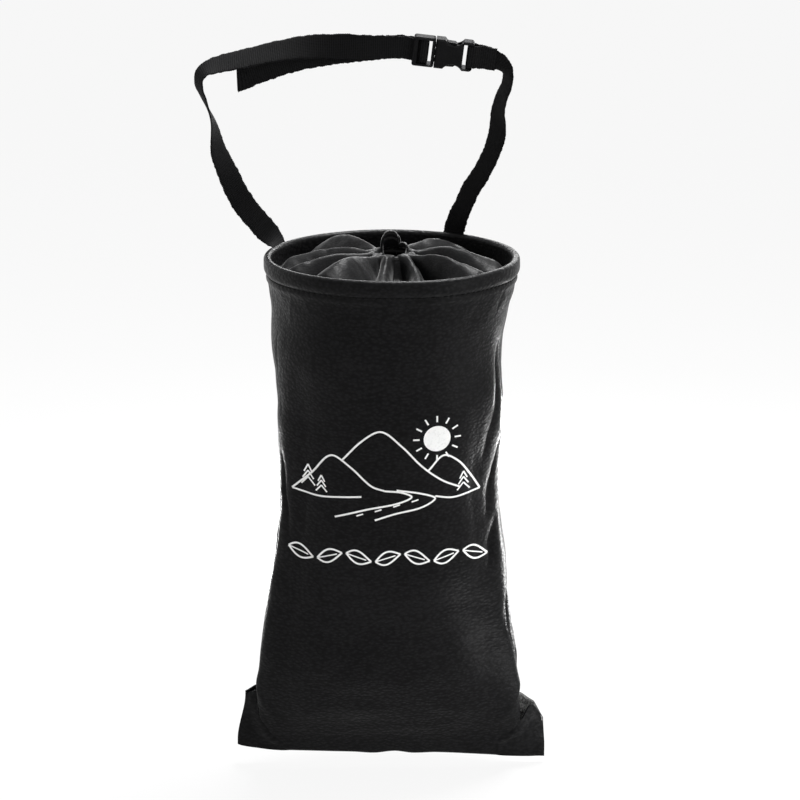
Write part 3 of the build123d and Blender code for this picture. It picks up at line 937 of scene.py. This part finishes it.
def make_elastic():
    around, sides = 264, 12
    points = []
    for turn in round_turns(around):
        ring = ELASTIC_RING + 0.08 * cos(22 * turn)
        for a in round_turns(sides):
            thick = ELASTIC_RADIUS + 0.05 * cos(44 * turn + 3 * a)
            reach = ring + thick * cos(a)
            z = ELASTIC_HEIGHT + thick * sin(a)
            points.append((reach * cos(turn), reach * sin(turn), z))
    faces = grid_faces(around, sides, True)
    last = (around - 1) * sides
    faces += [(last + s, last + (s + 1) % sides, (s + 1) % sides, s) for s in range(sides)]
    shape = Shape()
    shape.add(points, faces)
    elastic = shape.make("elastic_ring", [ELASTIC_LOOK])
    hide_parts("elastic_cord")


make_elastic()

# Webbing straps, sewn on at turns in degrees from the middle of the back
WEBBING_WIDTH = 15.0
WEBBING = 1.3
RIB_PITCH = 1.3
FRAY = 0.55
TAIL_SLANT = 4.0
SLANT_STATIONS = 18
SAMPLE = 0.34
LEFT_ANCHOR = 62.0
RIGHT_ANCHOR = 29.5
STITCH_INSET = 1.6
TURNED_END = Vector((0.3, 1.28, -0.5))

# Place and directions of the buckle
BUCKLE_PLACE = Vector((12.7, 0.0, 124.0))
BUCKLE_SLOPE = radians(6.5)
BUCKLE_TILT = radians(17.0)
BUCKLE_ALONG = Vector((cos(BUCKLE_SLOPE), 0, -sin(BUCKLE_SLOPE)))
BUCKLE_FRONT = Vector(
    (
        -sin(BUCKLE_SLOPE) * sin(BUCKLE_TILT),
        -cos(BUCKLE_TILT),
        -cos(BUCKLE_SLOPE) * sin(BUCKLE_TILT),
    )
)
BUCKLE_WIDE = BUCKLE_FRONT.cross(BUCKLE_ALONG)


def in_buckle(along, front):
    return tuple(BUCKLE_PLACE + BUCKLE_ALONG * along + BUCKLE_FRONT * front)


def dense(stations):
    """Close-set (middle, across) stations on smooth curves through the given ones."""
    rows = [(*middle, *across) for middle, across in stations]
    keys = path_keys([row[:3] for row in rows])
    count = ceil(keys[-1] / SAMPLE)
    rows = [smooth_row(keys, rows, keys[-1] * i / count) for i in range(count + 1)]
    return [(Vector(row[:3]), Vector(row[3:])) for row in rows]


def through_buckle(corners, radius):
    """Close-set stations on straight runs with rounded bends, in the buckle's side view."""
    flat = [Vector(c) for c in corners]
    path = [flat[0]]
    for before, here, after in zip(flat, flat[1:], flat[2:]):
        enter = here + (before - here).normalized() * min(radius, (before - here).length / 2)
        leave = here + (after - here).normalized() * min(radius, (after - here).length / 2)
        for i in range(7):
            t = i / 6
            path.append(enter * (1 - t) ** 2 + here * 2 * t * (1 - t) + leave * t * t)
    path.append(flat[-1])
    route = []
    for here, after in zip(path, path[1:]):
        count = max(1, ceil((after - here).length / SAMPLE))
        route += [here.lerp(after, i / count) for i in range(count)]
    route.append(path[-1])
    return [(Vector(in_buckle(p.x, p.y)), BUCKLE_WIDE) for p in route]


def sewn_end(angle):
    """Stations of a strap's end on the outside of the hem."""
    turn = radians(angle)
    radius = MOUTH_RADIUS + 0.3 + WEBBING / 2
    x, y = radius * sin(turn), radius * cos(turn)
    across = (cos(turn), -sin(turn), 0)
    return [((x, y, height), across) for height in (-13.0, -7.8, -2.6)]


def station_axes(route, i):
    """Middle of a strap at one station, and its directions ahead and across."""
    middle, across = route[i]
    ahead = (route[min(i + 1, len(route) - 1)][0] - route[max(i - 1, 0)][0]).normalized()
    return middle, ahead, (across - ahead * across.dot(ahead)).normalized()


def add_webbing(shape, route, slant=0.0):
    """Ribbed webbing with scalloped edges along close-set stations, its end cut at a slant."""
    sides = 20
    points = []
    uvs = []
    distance = 0.0
    for i in range(len(route)):
        middle, ahead, across = station_axes(route, i)
        rise = ahead.cross(across)
        if i:
            distance += (middle - route[i - 1][0]).length
        rib = cos(tau * distance / RIB_PITCH)
        halves = [
            WEBBING_WIDTH / 2 - 0.2 + 0.12 * rib + FRAY * noise.noise(Vector((distance * 0.45, row, 0)))
            for row in (2.5, 7.5)
        ]
        for s in range(sides):
            a = tau * (s + 0.5) / sides
            v = halves[cos(a) > 0] * shaped(cos(a), 5.0)
            ridge = 0.05 * rib * cos(tau * v / 2.5)
            n = (WEBBING / 2 - 0.05 + ridge) * shaped(sin(a), 4.0)
            tip = slant * ease(len(route) - SLANT_STATIONS, len(route) - 1, i) * (0.5 - v / WEBBING_WIDTH)
            points.append(middle + across * v + rise * n + ahead * tip)
            uvs.append((distance, v))
    faces = grid_faces(len(route), sides, True)
    faces.append(tuple(range(sides))[::-1])
    last = (len(route) - 1) * sides
    faces.append(tuple(last + s for s in range(sides)))
    shape.add(points, [face[::-1] for face in faces], 0, uvs)


def sew_box(shape, route, first, last, side):
    """Box of stitches on one face of a strap, between two places along it."""
    line = []
    ups = []

    def put(i, v):
        middle, ahead, across = station_axes(route, i)
        up = ahead.cross(across) * side
        line.append(middle + across * v + up * (WEBBING / 2 + 0.05))
        ups.append(up)

    edge = WEBBING_WIDTH / 2 - STITCH_INSET
    steps = range(first, last + 1)
    for i in steps:
        put(i, -edge)
    for k in range(1, 21):
        put(last, -edge + 2 * edge * k / 20)
    for i in reversed(steps):
        put(i, edge)
    for k in range(1, 21):
        put(first, edge - 2 * edge * k / 20)
    stitch_row(shape, [tuple(p) for p in line], ups, 1.9, 0.6, 0.24, 1)


def make_long_strap():
    lead, main, under, over, down = -8.0, -0.65, -2.55, 1.55, 8.75
    run = [
        ((-72.6, 37.4, 2.2), (0.66, 0.7, 0.22)),
        ((-78.2, 35.4, 8.6), (0.78, 0.5, 0.36)),
        ((-88.4, 31, 21.8), (0.78, 0.5, 0.37)),
        ((-95.2, 26, 34.5), (0.78, 0.51, 0.37)),
        ((-100.2, 21, 47.8), (0.69, 0.68, 0.25)),
        ((-104.8, 16, 60.9), (0.53, 0.84, 0.16)),
        ((-107.7, 10, 80.1), (0.04, 1, 0)),
        ((-112.4, 7, 93.9), (-0.32, 0.95, 0.08)),
        ((-114.7, 5, 100.6), (-0.39, 0.91, 0.16)),
        ((-114.4, 5, 107.4), (-0.31, 0.88, 0.36)),
        ((-110.2, 5, 111.8), (-0.11, 0.87, 0.48)),
        ((-102.0, 5, 114.5), (-0.11, 0.81, 0.58)),
        ((-90.0, 4, 117.3), (-0.15, 0.76, 0.63)),
        ((-72.1, 3, 121.6), (-0.15, 0.69, 0.71)),
        ((-54.2, 2, 124.6), (-0.12, 0.52, 0.82)),
        ((-36.4, 1, 125.8), (-0.03, 0.25, 0.95)),
        ((-18.6, 0, 125.4), (0.04, -0.08, 0.97)),
        (in_buckle(lead, main), tuple(BUCKLE_WIDE)),
    ]
    tail_run = [
        (in_buckle(lead, under), tuple(BUCKLE_WIDE)),
        ((-18.6, 3.4, 123.4), (0.04, -0.08, 0.97)),
        ((-36.4, 4.6, 121.2), (-0.03, 0.2, 0.96)),
        ((-56.0, 5.6, 117.4), (-0.1, 0.36, 0.9)),
        ((-78.0, 6.2, 110.4), (-0.2, 0.42, 0.86)),
        ((-84.0, 6.3, 108.2), (-0.22, 0.42, 0.86)),
        ((-90.2, 6.4, 105.9), (-0.24, 0.42, 0.86)),
    ]
    anchor = [((-x, y, z), (ax, -ay, az)) for (x, y, z), (ax, ay, az) in sewn_end(LEFT_ANCHOR)]
    leg = dense(anchor + run)
    corners = [(lead, main), (2.8, main), (5.2, over), (down, over), (down, under), (lead, under)]
    lock = through_buckle(corners, 1.3)
    tail = dense(tail_run)
    shape = Shape()
    add_webbing(shape, leg[:-1] + lock + tail[1:], TAIL_SLANT)
    turned = dense([(Vector(p) + TURNED_END, a) for p, a in tail_run[-2:]])
    add_webbing(shape, turned, TAIL_SLANT)
    sew_box(shape, leg, 3, 32, -1)
    sew_box(shape, tail, len(tail) - 16, len(tail) - 5, 1)
    strap = shape.make("webbing_long", [WEBBING_LOOK, THREAD], body=None)
    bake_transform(strap)
    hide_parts("strap_long")


def make_short_strap():
    clear, close, joint, wrap, end = 2.15, 0.8, 42.0, 32.55, 36.0
    corners = [
        (joint, -close),
        (end + 3.5, -close),
        (end + 0.4, -clear),
        (wrap, -clear),
        (wrap, clear),
        (end + 0.4, clear),
        (end + 3.5, close),
        (end + 13.5, close + 0.5),
    ]
    run = [
        ((39.4, 67.0, 3.0), (0.8, -0.58, -0.1)),
        ((43.3, 58.5, 15.9), (0.62, -0.75, -0.21)),
        ((48.6, 48, 30.4), (0.58, -0.76, -0.29)),
        ((55.9, 39, 44.5), (0.53, -0.79, -0.29)),
        ((61.3, 30, 58.5), (0.57, -0.81, -0.16)),
        ((64.0, 22, 72.1), (0.6, -0.8, -0.04)),
        ((64.4, 14, 85.5), (0.44, -0.9, 0)),
        ((66.0, 9, 94.2), (0.36, -0.93, -0.04)),
        ((68.6, 6, 101.8), (0.36, -0.93, -0.04)),
        ((69.0, 4, 108.4), (0.31, -0.91, 0.28)),
        ((65.8, 2.6, 114.0), (0.23, -0.7, 0.67)),
        ((59.6, 1.6, 117.4), (0.15, -0.42, 0.88)),
        (in_buckle(joint, -close), tuple(BUCKLE_WIDE)),
    ]
    leg = dense(sewn_end(RIGHT_ANCHOR) + run)
    loop = through_buckle(corners, 1.25)
    shape = Shape()
    add_webbing(shape, leg[:-1] + loop)
    sew_box(shape, leg, 3, 32, 1)
    sew_box(shape, loop, len(loop) - 22, len(loop) - 4, -1)
    strap = shape.make("webbing_short", [WEBBING_LOOK, THREAD])
    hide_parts("strap_short")


make_long_strap()
make_short_strap()

# Buckle halves and the hidden hoop keep their solids, the buckle halves with softened moulded edges
for node, look in (("buckle_male", PLASTIC), ("buckle_female", PLASTIC), ("rim_hoop", HOOP_LOOK)):
    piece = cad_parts[node]
    piece.data.materials.clear()
    piece.data.materials.append(look)
    if look is PLASTIC:
        soften = piece.modifiers.new("soft edges", "BEVEL")
        soften.width = 0.28 * MM
        soften.segments = 3
        soften.limit_method = "ANGLE"
        soften.angle_limit = radians(32)
        soften.harden_normals = True


# White print on the front: hills, a low sun, a winding road and a row of leaves
INK_LIFT = 0.14
LINE = 1.15
THIN_LINE = 0.9
VEIN_LINE = 0.8
PRINT_LIFT = 15.0
HILLS_AND_ROAD = [
    [(-60, -150), (-48, -138), (-36, -125), (-24, -132), (-12, -143), (-4, -146)],
    [(-30, -128), (-17, -114), (-6, -108), (6, -117), (18, -130), (30, -140), (41, -146)],
    [(22, -133), (31, -124), (40, -129), (47, -139), (53, -149.5)],
    [(-4, -146), (6, -147), (12, -150), (4, -154), (-14, -158), (-34, -164)],
    [(3, -145.5), (18, -148), (26, -151.5), (18, -157), (2, -161), (-10, -165)],
    [(-60, -150), (-44, -152), (-30, -151), (-18, -150)],
    [(26, -150), (36, -152), (45, -151), (53, -149.5)],
]
ROAD_MARKS = 4
SUN_X = 27
SUN_Z = -98.0
SUN_RADIUS = 8.0
SUN_RAYS = 12
TREES = [(-50, -131, 1.0), (-42, -134, 0.8), (43, -133, 0.9)]
TREE_TIERS = [(0, 4.2), (4, 3.4), (8, 2.5)]
LEAVES = 7
LEAF_START = -55
LEAF_PITCH = 17.6
LEAF_LENGTH = 15.0
LEAF_HEIGHT = -175
LEAF_TILT = 2.5


def curve_through(knots, step=1.0):
    keys = path_keys(knots)
    count = max(2, ceil(keys[-1] / step))
    return [tuple(smooth_row(keys, knots, keys[-1] * i / count)) for i in range(count + 1)]


def add_stroke(shape, line, width=LINE):
    """Printed line of even width that follows the leather."""
    points = []
    for i, here in enumerate(line):
        after = Vector(line[min(i + 1, len(line) - 1)])
        before = Vector(line[max(i - 1, 0)])
        way = (after - before).normalized()
        aside = Vector((-way.y, way.x)) * width / 2
        for side in (-1, -0.33, 0.33, 1):
            points.append(on_skin(here[0] + aside.x * side, here[1] + aside.y * side, -1, INK_LIFT))
    shape.add(points, grid_faces(len(line), 4, False))


def add_disc(shape, x, z, radius):
    rings, sides = 10, 48
    points = []
    for r in range(rings + 1):
        for a in round_turns(sides):
            reach = max(0.02, radius * r / rings)
            points.append(on_skin(x + reach * cos(a), z + reach * sin(a), -1, INK_LIFT))
    shape.add(points, grid_faces(rings + 1, sides, True))


def add_leaf(shape, x, tilt):
    """Leaf in outline, with a vein that stops short of its tip."""
    for bulge in (4.2, -4.2, 0.0):
        vein = bulge == 0.0
        edge = []
        for k in range(13):
            t = k / 12 * (0.8 if vein else 1.0)
            swell = bulge * sin(pi * t) * (1.25 - 0.5 * t)
            z = LEAF_HEIGHT + tilt * (2 * t - 1) + swell
            edge.append((x - LEAF_LENGTH / 2 + LEAF_LENGTH * t, z))
        add_stroke(shape, edge, VEIN_LINE if vein else LINE)


def make_print():
    shape = Shape()
    for knots in HILLS_AND_ROAD:
        add_stroke(shape, curve_through([(x, z + PRINT_LIFT) for x, z in knots]))
    for i in range(ROAD_MARKS):
        x = 12 - 11 * i
        z = PRINT_LIFT - 151.8 - 3.1 * i
        add_stroke(shape, curve_through([(x + 4, z), (x, z - 1.4)]), THIN_LINE)
    add_disc(shape, SUN_X, SUN_Z, SUN_RADIUS)
    for a in round_turns(SUN_RAYS):
        ray = [(SUN_X + r * cos(a), SUN_Z + r * sin(a)) for r in (10.4, 12.4, 14.2)]
        add_stroke(shape, curve_through(ray), 1.0)
    for x, z, size in TREES:
        for low, wide in TREE_TIERS:
            tier = [
                (x - wide * size, z + low * size),
                (x, z + (low + 5) * size),
                (x + wide * size, z + low * size),
            ]
            add_stroke(shape, curve_through(tier[:2], 0.8), THIN_LINE)
            add_stroke(shape, curve_through(tier[1:], 0.8), THIN_LINE)
    for i in range(LEAVES):
        add_leaf(shape, LEAF_START + LEAF_PITCH * i, LEAF_TILT if i % 2 else -LEAF_TILT)
    shape.make("front_print", [INK])


make_print()


# Floor, backdrop light and camera
def show_backdrop(tree, unseen, seen, share, output):
    """Gives one shader to camera, glossy and transmission rays, and the other to all the rest."""
    rays = add_node(tree, "ShaderNodeLightPath")
    shown = combine(tree, "MAXIMUM", rays.outputs["Is Camera Ray"], rays.outputs["Is Glossy Ray"])
    shown = combine(tree, "MAXIMUM", shown, rays.outputs["Is Transmission Ray"])
    mix = add_node(tree, "ShaderNodeMixShader")
    out = add_node(tree, output)
    tree.links.new(combine(tree, "MULTIPLY", shown, share), mix.inputs["Fac"])
    tree.links.new(unseen.outputs[0], mix.inputs[1])
    tree.links.new(seen.outputs[0], mix.inputs[2])
    tree.links.new(mix.outputs["Shader"], out.inputs["Surface"])


def make_stage():
    size = 14.0
    low = cad_box[0].z - 0.004
    corners = [(-size, -size, low), (size, -size, low), (size, size, low), (-size, size, low)]
    mesh = bpy.data.meshes.new("studio_floor")
    mesh.from_pydata(corners, [], [(0, 1, 2, 3)])
    floor = put_in_scene("studio_floor", mesh)
    material = bpy.data.materials.new("studio_floor")
    material.use_nodes = True
    tree = material.node_tree
    tree.nodes.clear()
    matt = add_node(tree, "ShaderNodeBsdfDiffuse", Color=(0.8, 0.8, 0.8, 1))
    glow = add_node(tree, "ShaderNodeEmission", Color=(1, 1, 1, 1), Strength=1.0)
    show_backdrop(tree, matt, glow, 0.9, "ShaderNodeOutputMaterial")
    mesh.materials.append(material)

    world = bpy.data.worlds.new("studio")
    bpy.context.scene.world = world
    world.use_nodes = True
    tree = world.node_tree
    tree.nodes.clear()
    dim = add_node(tree, "ShaderNodeBackground", Color=(1, 1, 1, 1), Strength=0.36)
    white = add_node(tree, "ShaderNodeBackground", Color=(1, 1, 1, 1), Strength=1.0)
    show_backdrop(tree, dim, white, 1.0, "ShaderNodeOutputWorld")


def add_light(name, place, target, width, height, power, spread=180):
    light = bpy.data.lights.new(name, "AREA")
    light.shape = "RECTANGLE"
    light.size = width
    light.size_y = height
    light.energy = power
    light.spread = radians(spread)
    lamp = put_in_scene(name, light)
    lamp.location = place
    lamp.rotation_euler = (Vector(target) - Vector(place)).to_track_quat("-Z", "Y").to_euler()
    lamp.visible_camera = False


def make_camera():
    camera = bpy.data.cameras.new("photo_camera")
    camera.sensor_width = 36.0
    camera.lens = 125.09
    camera.clip_end = 100.0
    holder = put_in_scene("photo_camera", camera)
    holder.location = (0.00504, -1.64326, 0.22443)
    holder.rotation_euler = (radians(90 - 15.0037), 0, 0)
    bpy.context.scene.camera = holder


make_stage()
add_light("front_soft", (0.35, -1.5, 0.75), (0, 0, -0.25), 1.0, 0.7, 3.2)
add_light("side_right", (0.85, -0.5, -0.2), (0, 0, -0.28), 0.5, 0.5, 2.2)
add_light("top_soft", (0.16, 0.24, 0.62), (0, 0, -0.12), 0.5, 0.3, 22)
add_light("low_right", (0.231, 0.092, -0.36), (0.065, -0.02, -0.33), 0.1, 0.08, 0.15, 62)
add_light("edge_right", (0.149, 0.173, -0.29), (0.068, -0.01, -0.24), 0.08, 0.05, 0.05, 50)
add_light("low_left", (-0.16, 0.157, -0.35), (-0.066, -0.02, -0.3), 0.1, 0.08, 0.07, 62)
add_light("low_front", (0.135, -0.085, -0.446), (0.07, -0.04, -0.36), 0.1, 0.05, 0.1)
add_light("back_low", (0.12, 0.85, 0.12), (0, 0, -0.125), 0.6, 0.1, 2.2)
make_camera()
bpy.context.scene.view_settings.view_transform = "Standard"
